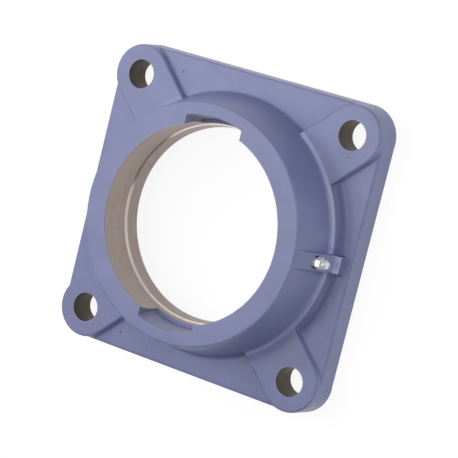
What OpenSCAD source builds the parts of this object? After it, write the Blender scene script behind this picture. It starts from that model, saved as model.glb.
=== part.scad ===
// Four-bolt square flanged bearing housing, an empty casting with its grease nipple.
// The origin is on the bore's axis at the flange's back face. +Z runs out of the hub's
// front, +X is the side with the grease nipple and +Y is a loading slot's side.

/* [Flange] */
// Bolt spacing, the same along both sides of the square
bolt_spacing = 159; // [150:0.5:170]
// Diameter of the four bolt holes
bolt_hole_d = 19; // [16:0.5:22]
// Radius of a corner lobe at the back face
corner_r = 20.5; // [19:0.5:24]
// How far the straight sides lie inside the corner lobes
side_inset = 0.1; // [0.1:0.1:2]
// Height of the bolt pads above the back face
pad_h = 20; // [18.5:0.5:24]
// Height of the sunk panels at the flange's straight edges
panel_h = 15.3; // [12:0.1:17]
// Draft angle of the cast outer walls
draft = 3; // [1:0.5:5]
// Radius of the cast edges at the front of the pads and panels
edge_r = 1.2; // [0.5:0.1:2.5]
// Radius at the foot of the pads' side walls
step_fillet_r = 1.5; // [0.5:0.1:2.5]

/* [Hub] */
// Overall height of the housing, from the back face to the hub's front face
hub_h = 51; // [46:0.5:58]
// Radius of the hub's front face, to the corner before rounding
hub_r = 77; // [75:0.5:82]
// Draft angle of the hub's cone
hub_draft = 12.6; // [8:0.1:15]
// Radius of the rim round the hub's front face
rim_r = 2; // [1:0.1:4]
// Height of the narrow ledge round the hub's foot above the pads
ledge_rise = 1; // [0.4:0.1:2.5]
// Width of that ledge
ledge_w = 2.9; // [2:0.1:4]
// Radius of the fillet between the hub's cone and the ledge
ledge_fillet_r = 1.5; // [0.5:0.1:2.2]
// Distance over which the panels sweep up to the ledge
sweep_run = 8; // [6.5:0.5:12]
// Distance over which the pads sweep up to the ledge
pad_run = 6; // [3:0.5:10]

/* [Bearing seat] */
// Diameter of the spherical seat
seat_d = 130; // [126:0.5:132]
// Height of the seat's centre above the back face
seat_z = 35; // [33:0.5:37]
// Height at which the seat ends towards the back
seat_end_z = 25; // [23:0.5:27]
// Height of the turned shoulder below the seat
shoulder_h = 1.7; // [1:0.1:3]
// How far that shoulder steps in from the seat
shoulder_w = 0.85; // [0.5:0.05:1.5]
// Taper of the turned band behind the shoulder, on the radius
band_taper = 0.9; // [0:0.1:1.5]
// Depth of the cored recess in the back
recess_depth = 12.9; // [8:0.1:16]
// Radius of the cored recess in the back
recess_r = 71; // [67:0.5:74]

/* [Loading slots] */
// Width of the two loading slots
slot_w = 40.5; // [34:0.5:46]
// Radius of the slots' outer walls at the front face
slot_r = 68.7; // [67:0.1:71]
// Height of the slots' floors
slot_floor_z = 29.5; // [27:0.5:36]
// Draft angle of the slots' outer walls
slot_draft = 4.5; // [1:0.5:6]
// Bevel between a slot's floor and the seat
slot_bevel = 1; // [0.4:0.1:1.2]

/* [Nipple lug] */
// Width of the lug that carries the nipple
lug_w = 11.2; // [9.6:0.1:16]
// How far the lug's foot stands out from the hub's cone
lug_proud = 6.6; // [4:0.1:8]
// Width of the ledge at the lug's foot
lug_ledge_w = 3.7; // [1.5:0.1:4.5]
// Lean of the lug's end below that ledge
lug_end_lean = 25; // [10:1:35]
// Height of the nipple's axis above the back face
nipple_z = 34; // [31:0.5:37]
// Diameter of the countersunk mouth of the tapped hole
mouth_d = 8.8; // [8.6:0.1:9.4]
// Diameter of the grease hole between the tapped hole and the seat
grease_hole_d = 4; // [2.5:0.5:5]

/* [Nipple] */
// Thread diameter of the nipple
thread_d = 6; // [6:0.5:8]
// Radial play between the nipple's thread and the tapped hole
thread_gap = 0.03; // [0.01:0.01:0.1]
// Length of the nipple's threaded stem
stem_len = 7.5; // [6:0.5:9]
// Width of the nipple's hexagon across its flats
hex_af = 7; // [7:0.1:7.4]
// Height of the hexagon
hex_h = 3.3; // [2.5:0.1:4]
// Gap between the lug's face and the hexagon, on the nipple's axis
hex_gap = 0.2; // [0.1:0.1:1.5]
// Diameter of the nipple's neck
neck_d = 4.7; // [4.5:0.1:5.5]
// Length of the nipple's neck
neck_len = 0.5; // [0.4:0.1:2]
// Diameter of the nipple's head
head_d = 6.5; // [6.3:0.1:7]
// Length of the nipple's head
head_len = 4.1; // [3.6:0.1:6]
// Diameter of the flat end of the head
tip_d = 3.8; // [3.4:0.1:4.4]
// Diameter of the spring's chamber inside the nipple
chamber_d = 3; // [2.9:0.1:3.2]
// Diameter of the nipple's mouth, which the ball closes
inlet_d = 1.6; // [1.2:0.1:1.7]
// Diameter of the check ball
ball_d = 2.4; // [2.3:0.1:2.6]
// Clearance between the seated ball and its cone
ball_gap = 0.03; // [0.02:0.01:0.05]
// Wire diameter of the ball's spring
wire_d = 0.3; // [0.2:0.05:0.4]
// Outer diameter of the ball's spring
coil_d = 2.5; // [2.4:0.1:2.7]
// Number of turns of the ball's spring
coil_turns = 7; // [5:1:9]

/* [Hidden] */

paint = [0.50, 0.52, 0.66];
zinc = [0.80, 0.81, 0.84];
steel = [0.62, 0.63, 0.66];

// Solids that are cut reach this far past what they cut, and joined ones this far inside.
over = 1;
arc_steps = 8;
bolt_at = bolt_spacing / 2;
lobe_reach = bolt_at + corner_r;
side_at = lobe_reach - side_inset;
arm_len = bolt_at * sqrt(2);

ledge_h = pad_h + ledge_rise;
hub_foot_r = hub_r + (hub_h - ledge_h) * tan(hub_draft);
ledge_r = hub_foot_r + ledge_w;

seat_r = seat_d / 2;
seat_end_r = sqrt(seat_r * seat_r - pow(seat_z - seat_end_z, 2));
shoulder_z = seat_end_z - shoulder_h;
shoulder_r = seat_end_r - shoulder_w;
band_end_r = shoulder_r - band_taper;

slot_floor_r = slot_r - (hub_h - slot_floor_z) * tan(slot_draft);
seat_at_floor_r = sqrt(seat_r * seat_r - pow(slot_floor_z - seat_z, 2));

// The lug's face runs from the rim's corner down to the lug's own ledge.
lug_foot_x = hub_foot_r + lug_proud;
lug_slope = atan((lug_foot_x - hub_r) / (hub_h - ledge_h));
function lug_x(z) = hub_r + (hub_h - z) * tan(lug_slope);

thread_r = thread_d / 2;
mouth_r = mouth_d / 2;
mouth_x = lug_x(nipple_z + mouth_r);
hex_x = lug_x(nipple_z) + hex_gap;
neck_x = hex_x + hex_h;
head_x = neck_x + neck_len;
tip_x = head_x + head_len;
stem_end_x = hex_x - stem_len;
tap_end_x = stem_end_x - over;

// The ball seats in a 45 degree cone that narrows to the inlet.
chamber_r = chamber_d / 2;
inlet_r = inlet_d / 2;
inlet_len = 0.3;
cone_end_x = tip_x - inlet_len;
ball_r = ball_d / 2;
ball_x = cone_end_x + inlet_r - (ball_r + ball_gap) * sqrt(2);
crimp_len = 0.6;
crimp_r = coil_d / 2 - wire_d;
spring_start_x = stem_end_x + crimp_len;
wire_r = wire_d / 2;
coil_r = coil_d / 2 - wire_r;
wire_sides = 5;
turn_steps = 12;
// The last turn bears on the ball behind its widest circle.
spring_gap = 0.03;
spring_reach = ball_r + wire_r + spring_gap;
spring_end_x = ball_x - sqrt(spring_reach * spring_reach - coil_r * coil_r) + wire_r;

// Points on an arc in the plane of a profile, from one angle to another.
function arc(x, z, r, from, to) =
    [for (i = [0:arc_steps]) let (a = from + (to - from) * i / arc_steps)
        [x + r * cos(a), z + r * sin(a)]];

// A rounded corner between a wall that leans inwards by lean and a flat top at height h.
// wall_r is where the wall's line meets height zero.
function top_corner(wall_r, h, lean, r) =
    let (z = h - r, x = wall_r - z * tan(lean) - r / cos(lean))
        arc(x, z, r, lean, 90);

// The rounded corner between a leaning wall through the rim's corner and the front face.
function rim_corner(lean, r) =
    top_corner(hub_r + hub_h * tan(lean), hub_h, lean, r);

// The hollow curve from a flat face at height h, which it leaves smoothly, up to the ledge.
function sweep(run, h) =
    let (rise = ledge_h - h, r = (run * run + rise * rise) / (2 * rise))
        arc(ledge_r + run, h + r, r, 270, 270 - 2 * atan(rise / run));

// A profile drawn in X and Z, extruded along Y and centred on the XZ plane.
module along_y(width) {
    rotate([90, 0, 0])
        translate([0, 0, -width / 2])
            linear_extrude(height = width) children();
}

// A section drawn across X, with its height along Y, extruded outwards from the axis.
module along_x(length) {
    rotate([90, 0, 90])
        linear_extrude(height = length) children();
}

// The section of a wall on both sides of the Z axis, with drafted sides and rounded tops.
module drafted_section(reach, h) {
    side = top_corner(reach, h, draft, edge_r);
    polygon(concat(
        [[-reach, 0], [reach, 0]],
        side,
        [for (i = [arc_steps:-1:0]) [-side[i][0], side[i][1]]]));
}

// A rectangle with drafted, rounded sides: reach_x and reach_y at the back face.
module drafted_block(reach_x, reach_y, h) {
    intersection() {
        along_y(4 * reach_y) drafted_section(reach_x, h);
        rotate([0, 0, 90]) along_y(4 * reach_x) drafted_section(reach_y, h);
    }
}

module panels() {
    drafted_block(side_at, bolt_at, panel_h);
    drafted_block(bolt_at, side_at, panel_h);
}

// The round lobe that carries a bolt hole.
module lobe() {
    rotate_extrude($fn = 96)
        polygon(concat(
            [[0, 0], [corner_r, 0]],
            top_corner(corner_r, pad_h, draft, edge_r),
            [[0, pad_h]]));
}

// One pad: the arm from the hub out to the bolt hole, and the lobe round the hole.
module pad() {
    rotate([0, 0, 45]) {
        along_x(arm_len) drafted_section(corner_r, pad_h);
        translate([arm_len, 0, 0]) lobe();
    }
}

// The fillet along the foot of a pad's side wall, down to the sunk panels.
module step_fillet() {
    wall = corner_r - panel_h * tan(draft);
    z = panel_h + step_fillet_r;
    x = corner_r - z * tan(draft) + step_fillet_r / cos(draft);
    rotate([0, 0, 45])
        along_x(arm_len)
            for (side = [0, 1])
                mirror([side, 0, 0])
                    polygon(concat(
                        [[wall - over, panel_h - over], [x, panel_h - over]],
                        arc(x, z, step_fillet_r, 270, 180 + draft),
                        [[wall - over, z]]));
}

// The hub's body: its cone, the rounded rim, the ledge and the sweep down to the panels.
module hub_blank() {
    z = ledge_h + ledge_fillet_r;
    x = hub_r + (hub_h - z) * tan(hub_draft) + ledge_fillet_r / cos(hub_draft);
    rotate_extrude($fn = 192)
        polygon(concat(
            [[0, 0], [ledge_r + sweep_run, 0]],
            sweep(sweep_run, panel_h),
            arc(x, z, ledge_fillet_r, 270, 180 + hub_draft),
            rim_corner(hub_draft, rim_r),
            [[0, hub_h]]));
}

// The shallow sweep from a pad up to the ledge, kept to the pad's own width.
module pad_sweep() {
    intersection() {
        rotate_extrude($fn = 192)
            polygon(concat(
                [[hub_r - over, pad_h - over], [ledge_r + pad_run, pad_h - over]],
                sweep(pad_run, pad_h),
                [[hub_r - over, ledge_h]]));
        rotate([0, 0, 45])
            along_x(arm_len)
                polygon([
                    [-corner_r, 0],
                    [corner_r, 0],
                    [corner_r - hub_h * tan(draft), hub_h],
                    [hub_h * tan(draft) - corner_r, hub_h]]);
    }
}

// The lug on the hub's cone, flush with the rim and standing proud towards its foot.
module lug() {
    top_x = lug_foot_x + lug_ledge_w;
    end_x = top_x + (ledge_h - panel_h) * tan(lug_end_lean);
    along_y(lug_w)
        polygon(concat(
            [[hub_r - rim_r - over, panel_h - over], [end_x, panel_h - over],
             [end_x, panel_h], [top_x, ledge_h], [lug_foot_x, ledge_h]],
            rim_corner(lug_slope, rim_r),
            [[hub_r - rim_r - over, hub_h]]));
}

module casting() {
    intersection() {
        hub_blank();
        drafted_block(side_at, side_at, hub_h + over);
    }
    panels();
    lug();
    for (turn = [0:90:270])
        rotate([0, 0, turn]) {
            pad();
            step_fillet();
            pad_sweep();
        }
}

// The turned bore: spherical seat, shoulder, band and the cored recess in the back.
module bore_cut() {
    intersection() {
        translate([0, 0, seat_z]) sphere(r = seat_r, $fn = 192);
        translate([-seat_r, -seat_r, seat_end_z]) cube([seat_d, seat_d, seat_d]);
    }
    translate([0, 0, shoulder_z])
        cylinder(r1 = shoulder_r, r2 = seat_end_r, h = shoulder_h, $fn = 192);
    translate([0, 0, recess_depth])
        cylinder(r1 = band_end_r, r2 = shoulder_r, h = shoulder_z - recess_depth, $fn = 192);
    translate([0, 0, -over])
        cylinder(r = recess_r, h = recess_depth + over, $fn = 192);
}

// Both loading slots, through which a bearing is turned into its seat.
module slot_cut() {
    bevel_z = slot_floor_z - slot_bevel;
    bevel_r = seat_at_floor_r + slot_bevel;
    top_r = slot_r + over * tan(slot_draft);
    intersection() {
        rotate_extrude($fn = 192)
            polygon([
                [0, bevel_z],
                [bevel_r - slot_bevel, bevel_z],
                [bevel_r, slot_floor_z],
                [slot_floor_r, slot_floor_z],
                [top_r, hub_h + over],
                [0, hub_h + over]]);
        translate([-slot_w / 2, -hub_r, 0]) cube([slot_w, 2 * hub_r, hub_h + 2 * over]);
    }
}

module bolt_hole_cut() {
    for (x = [-bolt_at, bolt_at])
        for (y = [-bolt_at, bolt_at])
            translate([x, y, -over])
                cylinder(d = bolt_hole_d, h = pad_h + 2 * over, $fn = 64);
}

// The tapped hole for the nipple, its countersunk mouth and the grease hole to the seat.
module nipple_hole_cut() {
    sink = mouth_r - thread_r;
    translate([0, 0, nipple_z])
        rotate([0, 90, 0]) {
            translate([0, 0, seat_r - 2 * over])
                cylinder(d = grease_hole_d, h = tap_end_x - seat_r + 3 * over, $fn = 48);
            translate([0, 0, tap_end_x])
                cylinder(r = thread_r, h = mouth_x - tap_end_x, $fn = 64);
            translate([0, 0, mouth_x - sink])
                cylinder(r1 = thread_r, r2 = mouth_r, h = sink, $fn = 64);
            translate([0, 0, mouth_x])
                cylinder(r = mouth_r, h = lug_x(ledge_h) - mouth_x, $fn = 64);
        }
}

module housing() {
    color(paint)
        difference() {
            casting();
            bore_cut();
            slot_cut();
            bolt_hole_cut();
            nipple_hole_cut();
        }
}

// The nipple's turned shape about its own axis, with the hexagon left out.
module nipple_turning() {
    head_r = head_d / 2;
    neck_r = neck_d / 2;
    tip_r = tip_d / 2;
    stem_r = thread_r - thread_gap;
    collar_r = hex_af / 2 - 0.2;
    rotate_extrude($fn = 64)
        polygon([
            [crimp_r, stem_end_x],
            [stem_r - 0.5, stem_end_x],
            [stem_r, stem_end_x + 0.8],
            [stem_r, hex_x],
            [collar_r, hex_x],
            [collar_r, neck_x],
            [neck_r, neck_x],
            [neck_r, head_x],
            [head_r, head_x + 0.25 * head_len],
            [head_r, head_x + 0.45 * head_len],
            [tip_r, tip_x],
            [inlet_r, tip_x],
            [inlet_r, cone_end_x],
            [chamber_r, cone_end_x + inlet_r - chamber_r],
            [chamber_r, spring_start_x],
            [crimp_r, spring_start_x]]);
}

// The hexagon with its corners turned off at both ends.
module nipple_hex() {
    corner = hex_af / 2 / cos(30);
    turned = corner - 0.5;
    difference() {
        intersection() {
            translate([0, 0, hex_x]) cylinder(r = corner, h = hex_h, $fn = 6);
            rotate_extrude($fn = 64)
                polygon([
                    [0, hex_x],
                    [turned, hex_x],
                    [corner + 0.1, hex_x + 0.35],
                    [corner + 0.1, neck_x - 0.35],
                    [turned, neck_x],
                    [0, neck_x]]);
        }
        translate([0, 0, hex_x - over])
            cylinder(r = chamber_r + 0.5, h = hex_h + 2 * over, $fn = 64);
    }
}

module grease_nipple() {
    color(zinc)
        translate([0, 0, nipple_z])
            rotate([0, 90, 0]) {
                nipple_turning();
                nipple_hex();
            }
}

module check_ball() {
    color(steel)
        translate([ball_x, 0, nipple_z])
            sphere(r = ball_r, $fn = 48);
}

// A closed sweep of the wire along the coil, ring by ring.
module check_spring() {
    steps = coil_turns * turn_steps;
    length = spring_end_x - spring_start_x - 2 * spring_gap;
    pitch_len = length - 2 * wire_r;
    rings = [for (i = [0:steps]) let (a = 360 * i / turn_steps,
                                      x = spring_start_x + spring_gap + wire_r + pitch_len * i / steps)
        [for (k = [0:wire_sides - 1]) let (b = 360 * k / wire_sides, r = coil_r + wire_r * cos(b))
            [x + wire_r * sin(b), r * cos(a), r * sin(a)]]];
    points = [for (ring = rings) for (p = ring) p];
    sides = [for (i = [0:steps - 1]) for (k = [0:wire_sides - 1])
        let (n = (k + 1) % wire_sides, at = i * wire_sides, up = at + wire_sides)
            [at + k, at + n, up + n, up + k]];
    first = [for (k = [wire_sides - 1:-1:0]) k];
    last = [for (k = [0:wire_sides - 1]) steps * wire_sides + k];
    color(steel)
        translate([0, 0, nipple_z])
            polyhedron(points = points, faces = concat([first], sides, [last]), convexity = 10);
}

housing();
grease_nipple();
check_ball();
check_spring();
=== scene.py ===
# %% [markdown]
# # An empty flanged bearing housing
#
# This lesson dresses a cast-iron bearing housing for a picture. The real part is a square iron
# casting with four bolt holes, a round hub and a turned seat, painted grey-blue before it is
# machined. A small grease nipple sits on the hub. The load call below brings in the exact model
# of the four pieces, and the lesson builds each piece again with the finish of the real one, in
# the same place and to the same sizes.

# %% Load the model
import math
import time

import bmesh
import bpy
from mathutils import Matrix, Quaternion, Vector


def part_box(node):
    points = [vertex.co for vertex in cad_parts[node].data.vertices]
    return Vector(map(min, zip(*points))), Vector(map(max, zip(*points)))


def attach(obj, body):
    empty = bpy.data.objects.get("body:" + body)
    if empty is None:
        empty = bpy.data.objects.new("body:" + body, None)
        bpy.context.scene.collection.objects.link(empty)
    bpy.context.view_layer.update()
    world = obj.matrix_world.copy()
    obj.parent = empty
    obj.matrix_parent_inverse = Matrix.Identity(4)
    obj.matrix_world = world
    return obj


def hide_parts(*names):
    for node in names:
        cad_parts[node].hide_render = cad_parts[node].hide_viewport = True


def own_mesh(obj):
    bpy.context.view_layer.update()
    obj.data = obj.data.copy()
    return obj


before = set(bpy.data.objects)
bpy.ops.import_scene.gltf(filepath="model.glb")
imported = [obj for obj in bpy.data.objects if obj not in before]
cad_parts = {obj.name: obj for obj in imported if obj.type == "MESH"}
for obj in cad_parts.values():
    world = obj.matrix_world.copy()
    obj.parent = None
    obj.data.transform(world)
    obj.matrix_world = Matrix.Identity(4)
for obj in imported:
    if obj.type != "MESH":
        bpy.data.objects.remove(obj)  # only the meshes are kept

started = time.time()
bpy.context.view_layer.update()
for name in sorted(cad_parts):
    low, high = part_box(name)
    print(name, "from", [round(1000 * c, 2) for c in low], "to", [round(1000 * c, 2) for c in high], "mm")

# %% [markdown]
# ## The camera
#
# The picture was taken from the right and from well above the flange, with a long lens, so that
# the far corners stay almost as large as the near ones. The camera is placed by three things
# that a photographer would name: where it stands, the point that it aims at, and how far it is
# rolled about its own axis. The roll puts the upper loading slot at the top of the picture.

# %% Place the camera
camera_place = Vector((0.60657, 0.17162, 1.10484))
camera_aim = Vector((0.01166, 0.00039, 0.020))
camera_roll = math.radians(-90.06)
camera_lens = 154.49

camera = bpy.data.objects.new("camera", bpy.data.cameras.new("camera"))
bpy.context.scene.collection.objects.link(camera)
camera.data.lens = camera_lens
camera.data.sensor_width = 36
camera.data.clip_start, camera.data.clip_end = 0.05, 20
aimed = (camera_aim - camera_place).to_track_quat("-Z", "Y")
camera.location = camera_place
camera.rotation_euler = (aimed @ Quaternion((0, 0, 1), camera_roll)).to_euler()
bpy.context.scene.camera = camera
print("camera is", round((camera_aim - camera_place).length, 3), "m from its aim point")

# %% [markdown]
# ## The floor and the light
#
# A studio photographer lays such a part on a white sweep. The floor here is a plain sheet whose
# material has two halves. The camera, mirrors and glass see a white surface that still darkens
# under the part, and every other ray sees a pale diffuse sheet that throws some light back on the
# sides. Its colour makes the background white, and no extra lamp is needed for that. The sheet
# lies a little below the part's back face, so that no two faces share a place.

# %% Lay the floor
floor_size = 6.0
floor_gap = 0.0004
floor_mesh = bpy.data.meshes.new("floor")
floor_bm = bmesh.new()
bmesh.ops.create_grid(floor_bm, x_segments=1, y_segments=1, size=floor_size / 2)
bmesh.ops.translate(floor_bm, vec=(0, 0, -floor_gap), verts=floor_bm.verts)
floor_bm.to_mesh(floor_mesh)
floor_bm.free()
floor = bpy.data.objects.new("floor", floor_mesh)
bpy.context.scene.collection.objects.link(floor)


def clear_nodes(material):
    """An empty node tree with its output, ready for this lesson's own shader."""
    material.use_nodes = True
    tree = material.node_tree
    tree.nodes.clear()
    return tree, tree.nodes.new("ShaderNodeOutputMaterial")


floor_bounce = 0.75
floor_seen = 0.16
floor_glow = 0.90
floor_paper = bpy.data.materials.new("floor paper")
tree, output = clear_nodes(floor_paper)
paper = tree.nodes.new("ShaderNodeBsdfDiffuse")
glow = tree.nodes.new("ShaderNodeEmission")
path = tree.nodes.new("ShaderNodeLightPath")
seen = tree.nodes.new("ShaderNodeMath")
seen.operation = "MAXIMUM"
tree.links.new(path.outputs["Is Camera Ray"], seen.inputs[0])
tree.links.new(path.outputs["Is Glossy Ray"], seen.inputs[1])
seen_all = tree.nodes.new("ShaderNodeMath")
seen_all.operation = "MAXIMUM"
tree.links.new(seen.outputs[0], seen_all.inputs[0])
tree.links.new(path.outputs["Is Transmission Ray"], seen_all.inputs[1])
strength = tree.nodes.new("ShaderNodeMath")
strength.operation = "MULTIPLY"
strength.inputs[1].default_value = floor_glow
tree.links.new(seen_all.outputs[0], strength.inputs[0])
tree.links.new(strength.outputs[0], glow.inputs["Strength"])
grey = tree.nodes.new("ShaderNodeMath")
grey.operation = "MULTIPLY_ADD"
grey.inputs[1].default_value = floor_seen - floor_bounce
grey.inputs[2].default_value = floor_bounce
tree.links.new(seen_all.outputs[0], grey.inputs[0])
tree.links.new(grey.outputs[0], paper.inputs["Color"])
both = tree.nodes.new("ShaderNodeAddShader")
tree.links.new(paper.outputs[0], both.inputs[0])
tree.links.new(glow.outputs[0], both.inputs[1])
tree.links.new(both.outputs[0], output.inputs["Surface"])
floor_mesh.materials.append(floor_paper)
print("the floor is", floor_size, "m wide")

# %% [markdown]
# The light is a tent of soft boxes round the table, strong overhead and on the left, weaker and low
# on the right, so that the flat faces shine a little while the hub's cone stays deep in colour. A
# faint pale room fills the rest. All stay at a level at which a paint shows about the colour it is
# given.

# %% Set the lamps
room_strength = 0.03
world = bpy.data.worlds.new("room")
bpy.context.scene.world = world
world.use_nodes = True
room = world.node_tree.nodes["Background"]
room.inputs["Color"].default_value = (1.0, 1.0, 1.0, 1)
room.inputs["Strength"].default_value = room_strength


def soft_box(name, place, aim, size, power):
    """A square area lamp at a place, turned towards a point."""
    data = bpy.data.lights.new(name, "AREA")
    data.shape = "SQUARE"
    data.size = size
    data.energy = power
    lamp = bpy.data.objects.new(name, data)
    bpy.context.scene.collection.objects.link(lamp)
    lamp.location = place
    towards = Vector(aim) - Vector(place)
    lamp.rotation_euler = towards.to_track_quat("-Z", "Y").to_euler()
    print(name, "stands", round(towards.length, 2), "m away with", power, "W")


def from_side(azimuth, elevation, distance):
    """A place round the housing, by compass angle and height angle in degrees."""
    a, e = math.radians(azimuth), math.radians(elevation)
    level = distance * math.cos(e)
    return (level * math.cos(a), level * math.sin(a), distance * math.sin(e))


part_middle = (0, 0, 0.02)
# each box: its name, compass angle, height angle, distance, size in metres and power in watts
tent = (("overhead box", 180, 79, 1.0, 0.6, 3.4),
        ("left box", 180, 50, 1.0, 0.6, 2.3),
        ("low left box", 180, 20, 1.0, 0.6, 0.6),
        ("near box", 135, 40, 0.5, 0.3, 0.5),
        ("right box", 0, 50, 1.0, 0.6, 0.5),
        ("top right box", 60, 50, 1.0, 0.6, 0.5),
        ("low right box", 30, 15, 1.0, 0.5, 2.0),
        ("front box", 330, 15, 1.0, 0.5, 1.3))
for name, azimuth, elevation, distance, size, power in tent:
    soft_box(name, from_side(azimuth, elevation, distance), part_middle, size, power)

bpy.context.scene.view_settings.view_transform = "Standard"

# %% [markdown]
# ## The casting's pattern
#
# A foundry first makes a pattern: plain wooden bodies that overlap, each with sloping sides so
# that it lifts out of the sand. The same bodies are made here as closed shells in one mesh: the
# turned hub and its ledge, four pads on their arms, the panels between them, the lug for the
# nipple. They may overlap freely, because the next step melts them into one skin. Each starts from
# one of the create operators or from a few corner points that spin or extrude turns into a body.
# The lathe takes the 1.5 mm of stock below the back face off later.

# %% Helpers that shape a body
def wire(bm, points, closed=False):
    """Corner points in the XZ plane joined by edges. Returns the vertices."""
    corners = [bm.verts.new((x, 0, z)) for x, z in points]
    for a, b in zip(corners, corners[1:]):
        bm.edges.new((a, b))
    if closed:
        bm.edges.new((corners[-1], corners[0]))
    return corners


def round_corners(bm, corners, radius, steps):
    """Rounds corners of a wire by the given tangent length."""
    bmesh.ops.bevel(bm, geom=corners, offset=radius, offset_type="OFFSET", segments=steps, profile=0.5,
                    affect="VERTICES", material=-1)


def corner_at(bm, x, z):
    """The vertex at a corner point, looked up by its place because rounding makes new vertices."""
    return [v for v in bm.verts if (v.co - Vector((x, 0, z))).length < 1e-6]


def everything(bm):
    """All that a mesh holds, as the operators want it."""
    return list(bm.verts) + list(bm.edges) + list(bm.faces)


def turn(bm, angle):
    """Turns a whole mesh about the Z axis."""
    bmesh.ops.rotate(bm, cent=(0, 0, 0), matrix=Matrix.Rotation(angle, 3, "Z"), verts=bm.verts)


def sweep_round(bm, angle, steps, merge=False):
    """Spins a whole mesh about the Z axis, and joins its two ends after a full turn."""
    bmesh.ops.spin(bm, geom=everything(bm), cent=(0, 0, 0), axis=(0, 0, 1), angle=angle, steps=steps,
                   use_merge=merge)


def slice_off(bm, point, normal):
    """Takes away what lies beyond a plane and closes the cut."""
    bmesh.ops.bisect_plane(bm, geom=everything(bm), plane_co=point, plane_no=normal, clear_outer=True)
    bmesh.ops.holes_fill(bm, edges=[e for e in bm.edges if e.is_boundary], sides=0)


def close_up(bm):
    """Joins points that coincide and turns the faces outwards."""
    bmesh.ops.remove_doubles(bm, verts=bm.verts, dist=1e-7)
    bmesh.ops.recalc_face_normals(bm, faces=bm.faces)


def add_to(pattern, bm):
    """Moves a finished body into the pattern, with its faces pointing outwards."""
    close_up(bm)
    body = bpy.data.meshes.new("body")
    bm.to_mesh(body)
    bm.free()
    pattern.from_mesh(body)
    bpy.data.meshes.remove(body)


print("shaping helpers ready", round(time.time() - started, 1), "s")

# %% Turn the hub
stock = 0.0015
disc_radius = 0.0965
panel_top = 0.0153
hub_top = 0.051
hub_radius = 0.077
hub_draft = math.radians(12.6)
rim_round = 0.0006
foot_round = 0.0012
panel_foot = hub_radius + (hub_top - panel_top) * math.tan(hub_draft)

pattern = bmesh.new()
hub = bmesh.new()
corners = wire(hub, [(0, -stock), (disc_radius, -stock), (disc_radius, panel_top), (panel_foot, panel_top),
                     (hub_radius, hub_top), (0, hub_top)])
round_corners(hub, [corners[4]], rim_round, 3)
round_corners(hub, corner_at(hub, panel_foot, panel_top), foot_round, 4)
sweep_round(hub, math.tau, 192, merge=True)
print("the hub has", len(hub.faces), "faces and a foot radius of", round(1000 * panel_foot, 2), "mm")
add_to(pattern, hub)

# %% [markdown]
# A narrow ledge stands at the hub's foot, but only on the nipple's side, between the two arms
# there. On the other sides the cone runs down to the panel. The ledge is one closed profile, spun
# through part of a turn. Its crest is a little higher than the groove behind it, and the corner
# outside it is rounded far enough to become a hollow sweep down to the panel.

# %% Add the ledge on the nipple's side
ledge_top = 0.021
ledge_reach = math.radians(58)
crest_rise = 0.0002
groove_depth = 0.0001
hub_foot = hub_radius + (hub_top - ledge_top) * math.tan(hub_draft)
groove_edge = hub_foot + 0.0006
ledge_edge = hub_foot + 0.0029
ledge_inside, ledge_base = 0.078, 0.012
sweep_run = 0.008
sweep_rise = ledge_top - panel_top
sweep_angle = 2 * math.atan(sweep_rise / sweep_run)
sweep_corner = ledge_edge + sweep_rise / math.tan(sweep_angle)
sweep_tangent = sweep_rise / math.sin(sweep_angle)

ledge = bmesh.new()
corners = wire(ledge, [(ledge_inside, ledge_base), (disc_radius, ledge_base), (disc_radius, panel_top),
                       (sweep_corner, panel_top), (ledge_edge, ledge_top + crest_rise),
                       (groove_edge, ledge_top - groove_depth),
                       (ledge_inside, ledge_top - groove_depth)], closed=True)
round_corners(ledge, [corners[3]], sweep_tangent - 0.0015, 8)
round_corners(ledge, corner_at(ledge, ledge_edge, ledge_top + crest_rise), 0.0011, 5)
bmesh.ops.contextual_create(ledge, geom=everything(ledge))
turn(ledge, -ledge_reach)
sweep_round(ledge, 2 * ledge_reach, 64)
print("the ledge stands", round(1000 * sweep_rise, 1), "mm above the panel")
add_to(pattern, ledge)

# %% [markdown]
# Each corner has a pad: a round lobe at the bolt hole and an arm that joins it to the hub. A bar
# is a scaled cube whose corners are drawn in at each level by the draft, three degrees, and only
# its top edges are rounded, because the pattern parts from the sand at the back.

# %% Shape the pads and their arms
draft = math.radians(3)
bolt_at = 0.0795
pad_top = 0.020
lobe_radius = 0.0205
edge_round = 0.0009
arm_start = 0.055
arm_length = bolt_at * math.sqrt(2)
arm_overlap = 0.001
diagonals = [math.radians(45 + 90 * quarter) for quarter in range(4)]


def round_top(bm, top):
    """Rounds the edges that lie in a body's top face."""
    rim = [e for e in bm.edges if all(abs(v.co.z - top) < 1e-6 for v in e.verts)]
    bmesh.ops.bevel(bm, geom=rim, offset=edge_round, offset_type="OFFSET", segments=4, profile=0.5,
                    affect="EDGES", material=-1)


def drafted_bar(low, high, top):
    """A bar from low to high in X and Y at the back face, whose sides lean in by the draft."""
    bm = bmesh.new()
    bmesh.ops.create_cube(bm, size=1)
    size = Vector((high[0] - low[0], high[1] - low[1], top + stock))
    centre = Vector(((high[0] + low[0]) / 2, (high[1] + low[1]) / 2, (top - stock) / 2))
    bmesh.ops.scale(bm, vec=size, verts=bm.verts)
    bmesh.ops.translate(bm, vec=centre, verts=bm.verts)
    for level in (-stock, top):
        ring = [v for v in bm.verts if abs(v.co.z - level) < 1e-6]
        lean = level * math.tan(draft)
        share = Vector((1 - 2 * lean / size.x, 1 - 2 * lean / size.y, 1))
        bmesh.ops.scale(bm, vec=share, verts=ring, space=Matrix.Translation(-centre))
    round_top(bm, top)
    return bm


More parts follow.
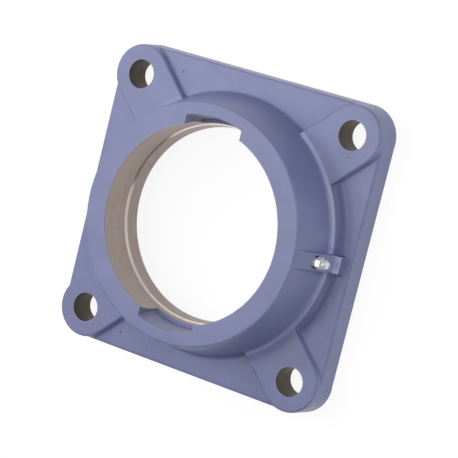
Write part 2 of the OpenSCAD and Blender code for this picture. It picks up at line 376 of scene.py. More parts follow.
for diagonal in diagonals:
    arm = drafted_bar((arm_start, -lobe_radius), (arm_length + arm_overlap, lobe_radius), pad_top)
    turn(arm, diagonal)
    add_to(pattern, arm)
    lobe = bmesh.new()
    height = pad_top + stock
    bmesh.ops.create_cone(lobe, cap_ends=True, segments=96, radius1=lobe_radius + stock * math.tan(draft),
                          radius2=lobe_radius - pad_top * math.tan(draft), depth=height)
    bmesh.ops.translate(lobe, vec=(arm_length, 0, pad_top - height / 2), verts=lobe.verts)
    round_top(lobe, pad_top)
    turn(lobe, diagonal)
    add_to(pattern, lobe)
print("a pad reaches", round(1000 * (bolt_at + lobe_radius), 2), "mm from the axis")

# %% [markdown]
# Two crossed bars make the four panels, which end just inside the pads' outer sides. The lug is
# drawn as it looks from the side, as a closed wire, then filled and extruded to its width. It
# stands against the cone and gives the nipple a thick place to be screwed into.

# %% Add the panels and the lug
side_at = 0.0999
add_to(pattern, drafted_bar((-side_at, -bolt_at), (side_at, bolt_at), panel_top))
add_to(pattern, drafted_bar((-bolt_at, -side_at), (bolt_at, side_at), panel_top))

lug_width = 0.0112
lug_inside, lug_base = 0.074, 0.014
lug_foot = hub_foot + 0.0066
lug_ledge = lug_foot + 0.0030
lug_lean = math.tan(math.radians(8))
lug_round = 0.0016
lug = bmesh.new()
corners = wire(lug, [(lug_inside, lug_base), (lug_ledge + (ledge_top - lug_base) * lug_lean, lug_base),
                     (lug_ledge, ledge_top), (lug_foot, ledge_top), (hub_radius, hub_top),
                     (lug_inside, hub_top)], closed=True)
round_corners(lug, [corners[4]], lug_round, 4)
bmesh.ops.contextual_create(lug, geom=everything(lug))
grown = bmesh.ops.extrude_face_region(lug, geom=list(lug.faces))["geom"]
far_side = [part for part in grown if isinstance(part, bmesh.types.BMVert)]
bmesh.ops.translate(lug, vec=(0, lug_width, 0), verts=far_side)
bmesh.ops.translate(lug, vec=(0, -lug_width / 2, 0), verts=lug.verts)
add_to(pattern, lug)
print("the lug is", round(1000 * lug_width, 1), "mm wide")

# %% [markdown]
# The pads lie 1 mm below the ledge. The two pads on the nipple's side meet it, and sweep up to it
# over a few millimetres. Each sweep is a spun sliver of the hub's outline: one profile with a
# rounded inner corner, turned through a small angle, then sliced by the arm's two side planes with
# bisect_plane and closed again.

# %% Sweep the pads up to the ledge
pad_run = 0.006
pad_rise = ledge_top - pad_top
pad_angle = 2 * math.atan(pad_rise / pad_run)
pad_tangent = pad_rise / math.sin(pad_angle)
sliver_inside, sliver_outside, sliver_base = 0.079, 0.0940, 0.0185
sliver_reach = math.radians(17)
for diagonal in (diagonals[0], diagonals[3]):
    sliver = bmesh.new()
    corners = wire(sliver, [(sliver_inside, sliver_base), (sliver_outside, sliver_base),
                            (sliver_outside, pad_top), (ledge_edge + pad_rise / math.tan(pad_angle), pad_top),
                            (ledge_edge, ledge_top), (sliver_inside, ledge_top)], closed=True)
    round_corners(sliver, [corners[3]], pad_tangent - 0.0003, 6)
    bmesh.ops.contextual_create(sliver, geom=everything(sliver))
    turn(sliver, -sliver_reach)
    sweep_round(sliver, 2 * sliver_reach, 24)
    for across in (-1, 1):
        slice_off(sliver, (0, across * lobe_radius, 0), (0, across * math.cos(draft), math.sin(draft)))
    turn(sliver, diagonal)
    add_to(pattern, sliver)
print("the pattern has", len(pattern.faces), "faces")

# %% [markdown]
# ## Casting the pattern
#
# The voxel remesh does here what sand and molten iron do: it takes the overlapping bodies and
# gives one watertight skin. A sand core that lies across the hub then leaves the two loading slots
# in it, which are cast and not cut, so they go through the same remesh and keep soft edges. A few
# rounds of smoothing blur each edge and inner corner a little, as a casting never has a sharp one,
# and Decimate thins the flat places. All are modifiers, and the result is read back from the
# evaluated object.

# %% Make the slot core
def spun(profile, steps=256):
    """A closed body turned about the Z axis from a profile that starts and ends on it."""
    bm = bmesh.new()
    wire(bm, profile)
    sweep_round(bm, math.tau, steps, merge=True)
    close_up(bm)
    return bm


def as_object(name, bm, material=None):
    """An object at the origin made of a finished mesh."""
    mesh = bpy.data.meshes.new(name)
    bm.to_mesh(mesh)
    bm.free()
    if material:
        mesh.materials.append(material)
    made = bpy.data.objects.new(name, mesh)
    bpy.context.scene.collection.objects.link(made)
    return made


slot_width = 0.0405
slot_outer = 0.0687
slot_floor = 0.0295
slot_lean = math.tan(math.radians(4.5))
slot_bevel = 0.001
bevel_edge = 0.0657667
overshoot = 0.002
core = spun([(0, slot_floor - slot_bevel), (bevel_edge - slot_bevel, slot_floor - slot_bevel),
             (bevel_edge, slot_floor), (slot_outer - (hub_top - slot_floor) * slot_lean, slot_floor),
             (slot_outer + overshoot * slot_lean, hub_top + overshoot), (0, hub_top + overshoot)])
for across in (-1, 1):
    slice_off(core, (across * slot_width / 2, 0, 0), (across, 0, 0))
bmesh.ops.recalc_face_normals(core, faces=core.faces)
slot_core = as_object("slot core", core)
print("a slot is", round(1000 * slot_width, 1), "mm wide and",
      round(1000 * (hub_top - slot_floor), 1), "mm deep")

# %% Cast it
voxel = 0.0005
kept_share = 0.16
casting_mesh = bpy.data.meshes.new("casting")
pattern.to_mesh(casting_mesh)
pattern.free()
casting = bpy.data.objects.new("casting", casting_mesh)
bpy.context.scene.collection.objects.link(casting)


def settle(obj):
    """Replaces an object's mesh by what its modifiers make of it."""
    depsgraph = bpy.context.evaluated_depsgraph_get()
    made = bpy.data.meshes.new_from_object(obj.evaluated_get(depsgraph))
    obj.modifiers.clear()
    old, obj.data = obj.data, made
    bpy.data.meshes.remove(old)


def combine(obj, tool, operation="DIFFERENCE"):
    """Adds a Boolean that keeps the tool's own material on the faces that it leaves."""
    boolean = obj.modifiers.new(tool.name, "BOOLEAN")
    boolean.operation = operation
    boolean.solver = "MANIFOLD"
    boolean.material_mode = "TRANSFER"
    boolean.object = tool


def remesh(obj):
    """Adds a remesh that wraps all that an object holds in one skin."""
    skin = obj.modifiers.new("skin", "REMESH")
    skin.mode = "VOXEL"
    skin.voxel_size = voxel


remesh(casting)
combine(casting, slot_core)
remesh(casting)
soften = casting.modifiers.new("soften", "SMOOTH")
soften.factor = 0.5
soften.iterations = 2
thin = casting.modifiers.new("thin", "DECIMATE")
thin.ratio = kept_share
settle(casting)
bpy.data.objects.remove(slot_core)
print("the raw casting has", len(casting.data.polygons), "faces,", round(time.time() - started, 1), "s")

# %% [markdown]
# ## Finishes
#
# Two finishes cover most of the part. The casting is sprayed with a satin grey-blue paint, which
# fills the sand's grain but still follows it, thins on sharp edges and leaves pinholes over pores.
# Its colour also carries painted light: painted highlights on the ledge's crest, the lug's lip and
# sharp edges, and painted shade in the hollow outside the ledge. Every machined face is bare iron
# or steel, and shows the fine rings that a turning tool leaves. Each finish is a node group with
# named inputs, built once and used by several materials. The groups give colours, roughness and
# height only, and the shader itself stays in each material.

# %% Helpers that place nodes
def node(tree, kind, inputs=(), **settings):
    """A shader node with its settings made and its sockets filled with values or links."""
    made = tree.nodes.new(kind)
    for name, value in settings.items():
        setattr(made, name, value)
    for socket, value in dict(inputs).items():
        if isinstance(value, bpy.types.NodeSocket):
            tree.links.new(value, made.inputs[socket])
        else:
            made.inputs[socket].default_value = value
    return made


def math_node(tree, operation, a, b=0.5, c=0.5, clamp=False):
    """The result of one sum on numbers that change over the surface."""
    return node(tree, "ShaderNodeMath", {0: a, 1: b, 2: c}, operation=operation, use_clamp=clamp).outputs[0]


def vector_node(tree, operation, a, b, gives="Vector"):
    """The result of one sum on vectors."""
    return node(tree, "ShaderNodeVectorMath", {0: a, 1: b}, operation=operation).outputs[gives]


def scaled(tree, vector, factor):
    """A vector or a colour made longer or shorter."""
    return node(tree, "ShaderNodeVectorMath", {0: vector, "Scale": factor}, operation="SCALE").outputs[0]


def times(tree, first, *others):
    """Numbers multiplied with each other."""
    for other in others:
        first = math_node(tree, "MULTIPLY", first, other)
    return first


def sway(tree, middle, pattern, amount, clamp=False):
    """A number moved up and down by a pattern between 0 and 1, half the amount each way."""
    lowest = math_node(tree, "ADD", middle, -amount / 2)
    return math_node(tree, "MULTIPLY_ADD", pattern, amount, lowest, clamp=clamp)


def rising(tree, value, start, end, low=0.0, high=1.0):
    """A number that goes from low to high while a value goes from start to end."""
    return node(tree, "ShaderNodeMapRange", {"Value": value, 1: start, 2: end, 3: low, 4: high}).outputs[0]


def blend(tree, factor, a, b):
    """A colour between two colours."""
    return node(tree, "ShaderNodeMix", {0: factor, 6: a, 7: b}, data_type="RGBA").outputs[2]


def noise(tree, place, scale, detail, roughness=0.5):
    """A cloudy pattern between 0 and 1, with about as many spots in a metre as its scale says."""
    return node(tree, "ShaderNodeTexNoise", {"Vector": place, "Scale": scale, "Detail": detail,
                                             "Roughness": roughness}).outputs[0]


def on_part(tree):
    """The place on the part, in metres."""
    return node(tree, "ShaderNodeTexCoord").outputs["Object"]


def effect(name, takes, gives):
    """An empty node group with named sockets, and what it takes and gives."""
    group = bpy.data.node_groups.new(name, "ShaderNodeTree")
    for title, kind, value in takes:
        group.interface.new_socket(name=title, in_out="INPUT", socket_type=kind).default_value = value
    for title, kind in gives:
        group.interface.new_socket(name=title, in_out="OUTPUT", socket_type=kind)
    return group, group.nodes.new("NodeGroupInput").outputs, group.nodes.new("NodeGroupOutput").inputs


print("shading helpers ready", round(time.time() - started, 1), "s")

# %% [markdown]
# The paint film mixes four patterns on Object coordinates, so that they lie still on the part: a
# broad mottling of the coat, a soft orange peel a few millimetres wide, the sand's grain near one
# millimetre, and sparse pinholes from a Voronoi pattern. Another input says where the colour goes
# pale: painted highlights, and on sharp edges partly a thin coat and partly a painted highlight.

# %% The paint film
COLOUR, NUMBER = "NodeSocketColor", "NodeSocketFloat"
finish = (("Color", COLOUR), ("Roughness", NUMBER), ("Height", NUMBER))
film, takes, gives = effect("paint film", (("Paint", COLOUR, (0.2, 0.23, 0.48, 1)),
                                           ("Highlight and wear", NUMBER, 0.0),
                                           ("Grain", NUMBER, 1.0),
                                           ("Gloss", NUMBER, 0.36)), finish)
# pale colour for the painted highlights and for the thin coat on sharp edges
pale_highlight_and_wear_colour = (0.58, 0.61, 0.92, 1)
pinhole_colour = (0.05, 0.05, 0.09, 1)
place = on_part(film)
mottle = noise(film, place, 38.0, 3.0, 0.55)
peel = noise(film, place, 240.0, 1.5)
sand = noise(film, place, 1000.0, 2.0, 0.6)
cells = node(film, "ShaderNodeTexVoronoi", {"Vector": place, "Scale": 70.0, "Randomness": 1.0})
pinhole = rising(film, cells.outputs["Distance"], 0.018, 0.040, 1.0, 0.0)

tone = sway(film, sway(film, 1.0, mottle, 0.30), sand, 0.16)
# the coat turns pale where a painted highlight or a thin coat on an edge is asked for
coat = blend(film, takes["Highlight and wear"], scaled(film, takes["Paint"], tone), pale_highlight_and_wear_colour)
film.links.new(blend(film, times(film, pinhole, 0.55), coat, pinhole_colour), gives["Color"])
film.links.new(sway(film, takes["Gloss"], peel, 0.16), gives["Roughness"])
relief = math_node(film, "MULTIPLY_ADD", sand, takes["Grain"], times(film, peel, 1.4))
film.links.new(math_node(film, "SUBTRACT", relief, times(film, pinhole, 2.5)), gives["Height"])
print("the paint film has", len(film.nodes), "nodes")

# %% [markdown]
# Turning marks run round the axis, so they change only along the tool's path. The group takes that
# path as a number in metres, and reads a four-dimensional noise with it as the fourth coordinate:
# the fine rings are about a third of a millimetre apart in the bore, the chatter bands a few times
# wider, and the slow change in the other three coordinates breaks each ring up a little. Pitch is
# the number of rings in one metre of path.

# %% The turning marks
marks, takes, gives = effect("turning marks", (("Path", NUMBER, 0.0),
                                               ("Bright", COLOUR, (0.5, 0.45, 0.42, 1)),
                                               ("Dull", COLOUR, (0.3, 0.26, 0.24, 1)),
                                               ("Gloss", NUMBER, 0.4),
                                               ("Pitch", NUMBER, 3000.0)), finish)
chatter_pitch = 620.0
place = on_part(marks)
slow_place = scaled(marks, place, 45.0)


def ring_noise(pitch):
    """Noise that changes fast along the tool's path and slowly round the part."""
    path = times(marks, takes["Path"], pitch)
    return node(marks, "ShaderNodeTexNoise", {"Vector": slow_place, "W": path, "Scale": 1.0, "Detail": 1.0},
                noise_dimensions="4D").outputs[0]


rings = ring_noise(takes["Pitch"])
chatter = ring_noise(chatter_pitch)
bloom = noise(marks, place, 70.0, 4.0, 0.6)
specks = noise(marks, place, 1400.0, 1.0)
ringed = math_node(marks, "MULTIPLY_ADD", rings, 0.55, times(marks, chatter, 0.45))
shine = sway(marks, sway(marks, ringed, bloom, 1.2), specks, 0.5, clamp=True)
marks.links.new(blend(marks, shine, takes["Dull"], takes["Bright"]), gives["Color"])
marks.links.new(sway(marks, takes["Gloss"], bloom, 0.24), gives["Roughness"])
marks.links.new(ringed, gives["Height"])
print("the turning marks have", len(marks.nodes), "nodes")

# %% [markdown]
# Each material places a group, feeds it the path that the tool took there, and hands its results
# to its own Principled shader. Across the bore the tool moves along Z or outwards, so height plus
# distance from the axis follows every cut. On the nipple the axis is X, at the nipple's height.

# %% Helpers for the materials
nipple_height = 0.034


def from_axis(tree, axis="Z", height=0.0):
    """X, Y and Z counted from a point on an axis, and the distance from that axis."""
    place = vector_node(tree, "ADD", on_part(tree), (0, 0, -height))
    across = vector_node(tree, "MULTIPLY", place, (0, 1, 1) if axis == "X" else (1, 1, 0))
    radius = node(tree, "ShaderNodeVectorMath", {0: across}, operation="LENGTH").outputs["Value"]
    return node(tree, "ShaderNodeSeparateXYZ", {0: place}).outputs, radius


def tool_path(tree, axis="Z", height=0.0, outwards=1.0):
    """Distance travelled by a turning tool: along the axis plus outwards from it."""
    split, radius = from_axis(tree, axis, height)
    return math_node(tree, "MULTIPLY_ADD", radius, outwards, split[axis])


def nipple_path(tree, outwards=1.0):
    """The tool's path on the nipple and on what it holds."""
    return tool_path(tree, "X", nipple_height, outwards)


def finished(name, group, inputs, relief, shader_values):
    """A material whose Principled shader is fed by one effect group, with a relief in metres."""
    material = bpy.data.materials.new(name)
    tree, output = clear_nodes(material)
    laid = node(tree, "ShaderNodeGroup", inputs(tree), node_tree=group).outputs
    bump = node(tree, "ShaderNodeBump", {"Height": laid["Height"], "Distance": relief, "Strength": 1.0})
    shader = node(tree, "ShaderNodeBsdfPrincipled", {"Base Color": laid["Color"],
                                                     "Roughness": laid["Roughness"],
                                                     "Normal": bump.outputs[0], **shader_values})
    tree.links.new(shader.outputs[0], output.inputs["Surface"])
    return material


print("the nipple's axis lies", round(1000 * nipple_height, 1), "mm above the back")

# %% [markdown]
# Some places carry light and shade painted into their colour. The ledge's crest and the lug's lip
# get a pale painted highlight, and the hollow outside the ledge a dark painted shade. In the bore the
# shoulder's corner gets a painted highlight, apart from a short stretch, and the front edge is dark.
# Each place is a mask: a height, a radius or another number is faded in and out between its
# limits, in metres, and the fades are multiplied.

# %% Mark the special places
def within(tree, value, start, full, still, end):
    """1 while a value lies from full to still, falling to 0 at start and at end."""
    return times(tree, rising(tree, value, start, full), rising(tree, value, end, still))


def sharp_edges(tree):
    """Where the surface bends within a millimetre, from 0 on flats to 1 at a sharp corner."""
    softened = node(tree, "ShaderNodeBevel", {"Radius": 0.0008}, samples=6).outputs[0]
    true = node(tree, "ShaderNodeNewGeometry").outputs["Normal"]
    return rising(tree, vector_node(tree, "DOT_PRODUCT", softened, true, "Value"), 0.995, 0.90)


def painted_highlight_and_wear(tree):
    """Where the colour goes pale: painted highlights on the ledge's crest and the lug's lip, and a little on
    sharp edges, partly thin coat and partly painted highlight.
    """
    split, radius = from_axis(tree)
    level = within(tree, split["Z"], 0.0198, 0.0206, 0.0220, 0.0228)
    # painted highlight along the ledge's crest
    crest_highlight = times(tree, within(tree, radius, 0.0836, 0.0850, 0.0861, 0.0875),
                  rising(tree, split["Y"], -0.05, 0.0, 0.15, 0.85),
                  rising(tree, split["Y"], 0.040, 0.052, 1.0, 0.6))
    beside = math_node(tree, "ABSOLUTE", split["Y"])
    # painted highlight on the lug's lip
    lip_highlight = times(tree, within(tree, split["X"], 0.0894, 0.0912, 0.0936, 0.0950),
                rising(tree, beside, 0.0057, 0.0050))
    high = times(tree, math_node(tree, "MAXIMUM", crest_highlight, lip_highlight), level)
    # sharp edges: partly a thinner coat, partly a painted highlight
    return math_node(tree, "MAXIMUM", high, times(tree, sharp_edges(tree), 0.3))


def painted_hollow_shade(tree):
    """The paint's colour, with painted shade darkening the hollow outside the ledge on the nipple's side."""
    split, radius = from_axis(tree)
    hollow_shade = times(tree, within(tree, radius, 0.0866, 0.0878, 0.0895, 0.0975),
                   rising(tree, split["Z"], 0.0206, 0.0196), rising(tree, split["X"], 0.050, 0.065))
    # painted shade: a darker paint colour in the hollow beside the ledge
    return blend(tree, hollow_shade, (0.218, 0.241, 0.447, 1), (0.135, 0.15, 0.305, 1))


def bore_tone(tree, colour):
    """The bore's iron: a painted highlight along the shoulder's corner, dark along the front edge."""
    plain_side = (-0.887, 0.462, 0)
    place = on_part(tree)
    height = node(tree, "ShaderNodeSeparateXYZ", {0: place}).outputs["Z"]
    reach = vector_node(tree, "DOT_PRODUCT", place, plain_side, "Value")
    # painted highlight: near-white on the shoulder's corner, except a short stretch
    corner = times(tree, within(tree, height, 0.0230, 0.0234, 0.0248, 0.0252),
                   rising(tree, reach, 0.0615, 0.0590))
    lit = blend(tree, corner, colour, (1.0, 0.93, 0.9, 1))
    return blend(tree, rising(tree, height, 0.0501, 0.0507), lit, (0.05, 0.04, 0.045, 1))


print("masks ready", round(time.time() - started, 1), "s")

# %% [markdown]
# Six materials are enough. The paint is the only one that isn't a metal. The drilled iron is
# rougher and much darker than the turned iron of the bore. Bright zinc covers the nipple, and the
# ball and the spring are polished and drawn steel.

# %% Build the materials
paint = finished("grey blue paint", film,
                 lambda tree: {"Paint": painted_hollow_shade(tree), "Highlight and wear": painted_highlight_and_wear(tree), "Grain": 1.0, "Gloss": 0.38},
                 0.00005, {"Specular IOR Level": 0.5})
turned_iron = finished("turned iron", marks,
                       lambda tree: {"Path": tool_path(tree), "Gloss": 0.42, "Pitch": 3200.0,
                                     "Bright": bore_tone(tree, (0.41, 0.335, 0.31, 1)),
                                     "Dull": bore_tone(tree, (0.26, 0.205, 0.18, 1))},
                       0.00003, {"Metallic": 0.9})
drilled_iron = finished("drilled iron", marks,
                        lambda tree: {"Path": tool_path(tree, outwards=0.0), "Gloss": 0.5, "Pitch": 2200.0,
                                      "Bright": (0.13, 0.098, 0.072, 1), "Dull": (0.05, 0.034, 0.022, 1)},
                        0.00005, {"Metallic": 0.7})
zinc = finished("bright zinc", marks,
                lambda tree: {"Path": nipple_path(tree), "Gloss": 0.46, "Pitch": 9000.0,
                              "Bright": (0.95, 0.95, 0.96, 1), "Dull": (0.86, 0.86, 0.88, 1)},
                0.000008, {"Metallic": 0.6})
ball_steel = finished("ball steel", marks,
                      lambda tree: {"Path": nipple_path(tree), "Gloss": 0.14, "Pitch": 16000.0,
                                    "Bright": (0.62, 0.62, 0.63, 1), "Dull": (0.5, 0.5, 0.51, 1)},
                      0.000001, {"Metallic": 1.0})
spring_steel = finished("spring steel", marks,
                        lambda tree: {"Path": nipple_path(tree, 4.0), "Gloss": 0.32, "Pitch": 7000.0,
                                      "Bright": (0.46, 0.46, 0.47, 1), "Dull": (0.3, 0.3, 0.31, 1)},
                        0.000004, {"Metallic": 1.0})
print("materials:", ", ".join(m.name for m in bpy.data.materials))

# %% [markdown]
# ## Machining
#
# The casting then goes to the lathe and the drill. Each tool is a closed body that a Boolean
# modifier takes away, and the tool carries the material that its cut leaves, bare iron. One boring
# cut makes the recess, the band above it and the spherical seat, in which the bearing can tilt.
# The tools reach a little past the faces that they cut, so that no two faces coincide.

# %% Make the tools
seat_radius = 0.065
seat_height = 0.035
seat_start = 0.025
recess_radius = 0.071
recess_top = 0.0129
band_rear, band_front, band_top = 0.062476, 0.063376, 0.0233
below_back = 0.003
arc_steps = 24
seat_arc = []
for i in range(arc_steps + 1):
    z = seat_start + (hub_top + overshoot - seat_start) * i / arc_steps
    seat_arc.append((math.sqrt(seat_radius ** 2 - (z - seat_height) ** 2), z))
boring = spun([(0, -below_back), (recess_radius, -below_back), (recess_radius, recess_top),
               (band_rear, recess_top), (band_front, band_top)] + seat_arc + [(0, hub_top + overshoot)])
tools = [as_object("boring bar", boring, turned_iron)]

facing_width, facing_depth = 0.3, 0.004
facing = bmesh.new()
bmesh.ops.create_cube(facing, size=1)
bmesh.ops.scale(facing, vec=(facing_width, facing_width, facing_depth), verts=facing.verts)
bmesh.ops.translate(facing, vec=(0, 0, -facing_depth / 2), verts=facing.verts)
tools.append(as_object("facing cut", facing, turned_iron))

bolt_hole_radius = 0.0095
for x in (-bolt_at, bolt_at):
    for y in (-bolt_at, bolt_at):
        drill = spun([(0, -below_back), (bolt_hole_radius, -below_back),
                      (bolt_hole_radius, pad_top + overshoot), (0, pad_top + overshoot)], 96)
        bmesh.ops.translate(drill, vec=(x, y, 0), verts=drill.verts)
        tools.append(as_object("drill", drill, drilled_iron))
print("the seat is", round(2000 * seat_radius, 1), "mm wide and a bolt hole",
      round(2000 * bolt_hole_radius, 1), "mm")

# %% [markdown]
# The nipple's hole is drilled into the lug from the side: a narrow way through to the seat for the
# grease, a wider tapped hole, and a cast countersink at its mouth, which keeps the paint. These
# tools are turned about Z like the others and then laid along X.

# %% Drill for the nipple
quarter_turn = Matrix.Rotation(math.radians(90), 3, "Y")


def lay_along_x(bm):
    """Lays a body that was turned about Z along the nipple's axis."""
    bmesh.ops.rotate(bm, cent=(0, 0, 0), matrix=quarter_turn, verts=bm.verts)
    bmesh.ops.translate(bm, vec=(0, 0, nipple_height), verts=bm.verts)
    return bm


grease_radius, tap_radius = 0.002, 0.003
grease_start, tap_start, tap_end = 0.060, 0.07624, 0.083
tap = spun([(0, grease_start), (grease_radius, grease_start), (grease_radius, tap_start),
            (tap_radius, tap_start), (tap_radius, tap_end), (0, tap_end)], 64)
tools.append(as_object("tap", lay_along_x(tap), drilled_iron))

mouth_inner, mouth_outer = 0.0026, 0.0044
mouth_tip, mouth_start, mouth_end = 0.0808, 0.080788, 0.0906
mouth = spun([(0, mouth_tip), (mouth_inner, mouth_start),
              (mouth_outer, mouth_start + mouth_outer - mouth_inner),
              (mouth_outer, mouth_end), (0, mouth_end)], 64)
tools.append(as_object("mouth", lay_along_x(mouth), paint))
print("the tapped hole is", round(1000 * (tap_end - tap_start), 1), "mm deep")

# %% [markdown]
# The paint lies over a few blow holes, small round dimples that gas leaves in a casting. Each is
# the end of a small ball sunk into the skin, and the ball carries the paint.

# %% Add the blow holes
sunk = 0.2  # how far each ball's centre lies under the skin, as a share of its radius
blow_holes = ((-0.0512, 0.0883, panel_top, 0.00085), (-0.0514, -0.0880, panel_top, 0.00085),
              (0.0849, 0.0089, ledge_top, 0.0007), (0.0811, 0.0660, pad_top, 0.0006),
              (0.0630, -0.0606, pad_top, 0.0006), (0.0494, 0.0727, pad_top, 0.0006),
              (0.0489, -0.0434, hub_top, 0.00045))
for x, y, z, radius in blow_holes:
    bubble = bmesh.new()
    bmesh.ops.create_uvsphere(bubble, u_segments=20, v_segments=12, radius=radius)
    bmesh.ops.translate(bubble, vec=(x, y, z - sunk * radius), verts=bubble.verts)
    tools.append(as_object("bubble", bubble, paint))
print(len(tools), "tools stand ready")

# %% [markdown]
# All cuts are made at once. A cut leaves sharp edges, while the cast skin is shaded smooth across
# all but real corners, so the angle at which the shading breaks differs between the two.

# %% Machine the casting
casting.data.materials.clear()
casting.data.materials.append(paint)
for tool in tools:
    combine(casting, tool)
settle(casting)
for tool in tools:
    bpy.data.objects.remove(tool)


def crease(obj, cast_angle, cut_angle):
    """Marks the edges at which the shading breaks: round every cut, and at plain corners."""
    bm = bmesh.new()
    bm.from_mesh(obj.data)
    sharp = 0
    for face in bm.faces:
        face.smooth = True
    for edge in bm.edges:
        if len(edge.link_faces) != 2:
            continue
        a, b = edge.link_faces
        limit = cast_angle if a.material_index == 0 and b.material_index == 0 else cut_angle
        edge.smooth = a.material_index == b.material_index and edge.calc_face_angle(0) < limit
        sharp += not edge.smooth
    bm.to_mesh(obj.data)
    bm.free()
    return sharp


sharp = crease(casting, cast_angle=math.radians(50), cut_angle=math.radians(8))
casting.data.calc_loop_triangles()
print("the machined casting has", len(casting.data.polygons), "faces,", sharp, "sharp edges and",
      len(casting.data.loop_triangles), "triangles")
print("its materials are", [m.name for m in casting.data.materials], round(time.time() - started, 1), "s")
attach(casting, "housing")
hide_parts("housing")

# %% [markdown]
# ## The grease nipple
#
# The nipple is turned from hexagon bar: a head for the grease gun's coupler, a neck, the hexagon
# for the spanner and a threaded stem. Its turned outline is one spin. The hexagon is a cone with
# six segments whose corners a second turned body trims, and the thread is a small triangle spun
# with dvec, which lifts it a little at each step and so draws a screw. Booleans join them and
# drill the chamber, so that it is one closed piece.

# %% Turn the nipple's body
stem_end, hex_start, neck_start, head_start, tip = 0.07724, 0.08474, 0.08804, 0.08854, 0.09264
stem_radius, collar_radius, neck_radius, head_radius, tip_radius = 0.00243, 0.0033, 0.00235, 0.00325, 0.0019
head_length = tip - head_start
turned = bmesh.new()
outline = wire(turned, [(0, stem_end), (stem_radius - 0.00008, stem_end), (stem_radius, stem_end + 0.0002),
                        (stem_radius, hex_start - 0.0006), (stem_radius + 0.00019, hex_start),
                        (collar_radius, hex_start), (collar_radius, neck_start),
                        (neck_radius, neck_start), (neck_radius, head_start),
                        (head_radius, head_start + 0.25 * head_length),
                        (head_radius, head_start + 0.45 * head_length), (tip_radius, tip), (0, tip)])
round_corners(turned, [outline[9], outline[10], outline[11]], 0.0003, 4)
sweep_round(turned, math.tau, 96, merge=True)
close_up(turned)
nipple = as_object("nipple", lay_along_x(turned), zinc)
print("the nipple is", round(1000 * (tip - stem_end), 1), "mm long")

# %% Add its hexagon and its thread
hex_half = 0.0035
hex_chamfer = 0.00035
corner = hex_half / math.cos(math.radians(30))
hexagon = bmesh.new()
bmesh.ops.create_cone(hexagon, cap_ends=True, segments=6, radius1=corner, radius2=corner,
                      depth=neck_start - hex_start)
bmesh.ops.translate(hexagon, vec=(0, 0, (hex_start + neck_start) / 2), verts=hexagon.verts)
trim_start, trim_end = hex_start - 0.001, neck_start + 0.001
trim_radius = 0.0029
barrel = spun([(0, trim_start), (trim_radius, trim_start), (corner - 0.0005, hex_start),
               (corner + 0.0001, hex_start + hex_chamfer), (corner + 0.0001, neck_start - hex_chamfer),
               (corner - 0.0005, neck_start), (trim_radius, trim_end), (0, trim_end)], 96)
hex_body = as_object("hex body", lay_along_x(hexagon), zinc)
hex_barrel = as_object("hex barrel", lay_along_x(barrel), zinc)
combine(hex_body, hex_barrel, "INTERSECT")
settle(hex_body)

pitch = 0.001
turns = 6
steps_per_turn = 24
thread_root, thread_crest, thread_width = 0.0023, 0.00297, 0.00084
thread_start = stem_end + 0.0006
thread = bmesh.new()
wire(thread, [(thread_root, thread_start), (thread_crest, thread_start + thread_width / 2),
              (thread_root, thread_start + thread_width)], closed=True)
bmesh.ops.contextual_create(thread, geom=everything(thread))
bmesh.ops.spin(thread, geom=everything(thread), cent=(0, 0, 0), axis=(0, 0, 1), angle=turns * math.tau,
               dvec=(0, 0, pitch / steps_per_turn), steps=turns * steps_per_turn, use_merge=False)
bmesh.ops.recalc_face_normals(thread, faces=thread.faces)
thread_body = as_object("thread", lay_along_x(thread), zinc)
print("the hexagon is", round(2000 * hex_half, 1), "mm across and the thread has", turns, "turns")

# %% Drill and join the nipple
inlet_radius, chamber_radius, throat_radius, flare_radius = 0.00095, 0.0015, 0.0008, 0.001
inlet_end = stem_end + 0.0006
flare_end = tip + 0.0001
chamber = spun([(0, stem_end - 0.001), (inlet_radius, stem_end - 0.001), (inlet_radius, inlet_end),
                (chamber_radius, inlet_end), (chamber_radius, tip - 0.001), (throat_radius, tip - 0.0003),
                (throat_radius, tip - 0.0001), (flare_radius, flare_end), (0, flare_end)], 64)
chamber_drill = as_object("chamber drill", lay_along_x(chamber), zinc)
for part, operation in ((hex_body, "UNION"), (thread_body, "UNION"), (chamber_drill, "DIFFERENCE")):
    combine(nipple, part, operation)
settle(nipple)
for part in (hex_body, hex_barrel, thread_body, chamber_drill):
    bpy.data.objects.remove(part)
nipple.name = "nipple_body"
nipple.data.set_sharp_from_angle(angle=math.radians(24))


def shade_smooth(obj):
    """Shades an object's faces as one curved surface, up to the edges marked as sharp."""
    for face in obj.data.polygons:
        face.use_smooth = True


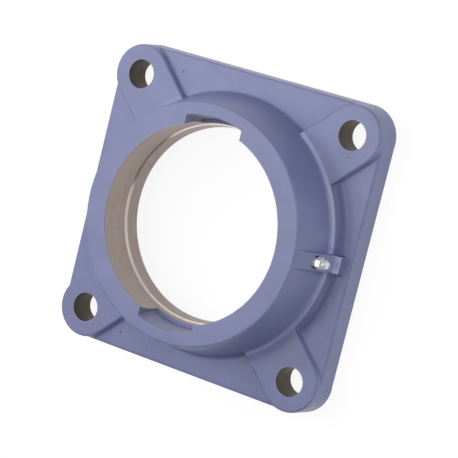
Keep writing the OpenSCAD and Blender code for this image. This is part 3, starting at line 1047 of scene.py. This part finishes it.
shade_smooth(nipple)
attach(nipple, "housing")
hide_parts("grease_nipple")
print("the nipple has", len(nipple.data.polygons), "faces")

# %% [markdown]
# ## The check ball and its spring
#
# Only the end of the ball shows in the nipple's mouth. The spring behind it is round wire: a small
# circle spun with dvec, in three runs, because the end turns of a coil spring lie closer than its
# working turns.

# %% Make the ball
ball_at = 0.0914005
ball_radius = 0.0012
ball_bm = bmesh.new()
bmesh.ops.create_uvsphere(ball_bm, u_segments=48, v_segments=32, radius=ball_radius)
bmesh.ops.rotate(ball_bm, cent=(0, 0, 0), matrix=quarter_turn, verts=ball_bm.verts)
bmesh.ops.translate(ball_bm, vec=(ball_at, 0, nipple_height), verts=ball_bm.verts)
ball = as_object("ball", ball_bm, ball_steel)
shade_smooth(ball)
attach(ball, "check_ball")
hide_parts("check_ball")
print("the ball has", len(ball.data.polygons), "faces")

# %% Wind the spring
wire_radius, coil_radius = 0.00015, 0.0011
coil_start, coil_end = 0.07802, 0.090537
end_pitch = 0.00045
working_turns = 5
working_pitch = (coil_end - coil_start - 2 * end_pitch) / working_turns
upright = Matrix.Rotation(math.radians(90), 3, "X")
spring_bm = bmesh.new()
bmesh.ops.create_circle(spring_bm, cap_ends=True, segments=8, radius=wire_radius)
bmesh.ops.rotate(spring_bm, cent=(0, 0, 0), matrix=upright, verts=spring_bm.verts)
bmesh.ops.translate(spring_bm, vec=(coil_radius, 0, coil_start), verts=spring_bm.verts)
front = everything(spring_bm)
for turns, pitch in ((1, end_pitch), (working_turns, working_pitch), (1, end_pitch)):
    front = bmesh.ops.spin(spring_bm, geom=front, cent=(0, 0, 0), axis=(0, 0, 1), angle=turns * math.tau,
                           dvec=(0, 0, pitch / steps_per_turn), steps=turns * steps_per_turn,
                           use_merge=False)["geom_last"]
bmesh.ops.recalc_face_normals(spring_bm, faces=spring_bm.faces)
spring = as_object("spring", lay_along_x(spring_bm), spring_steel)
shade_smooth(spring)
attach(spring, "housing")
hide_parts("check_spring")
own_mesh(spring)
print("the spring has", len(spring.data.polygons), "faces")
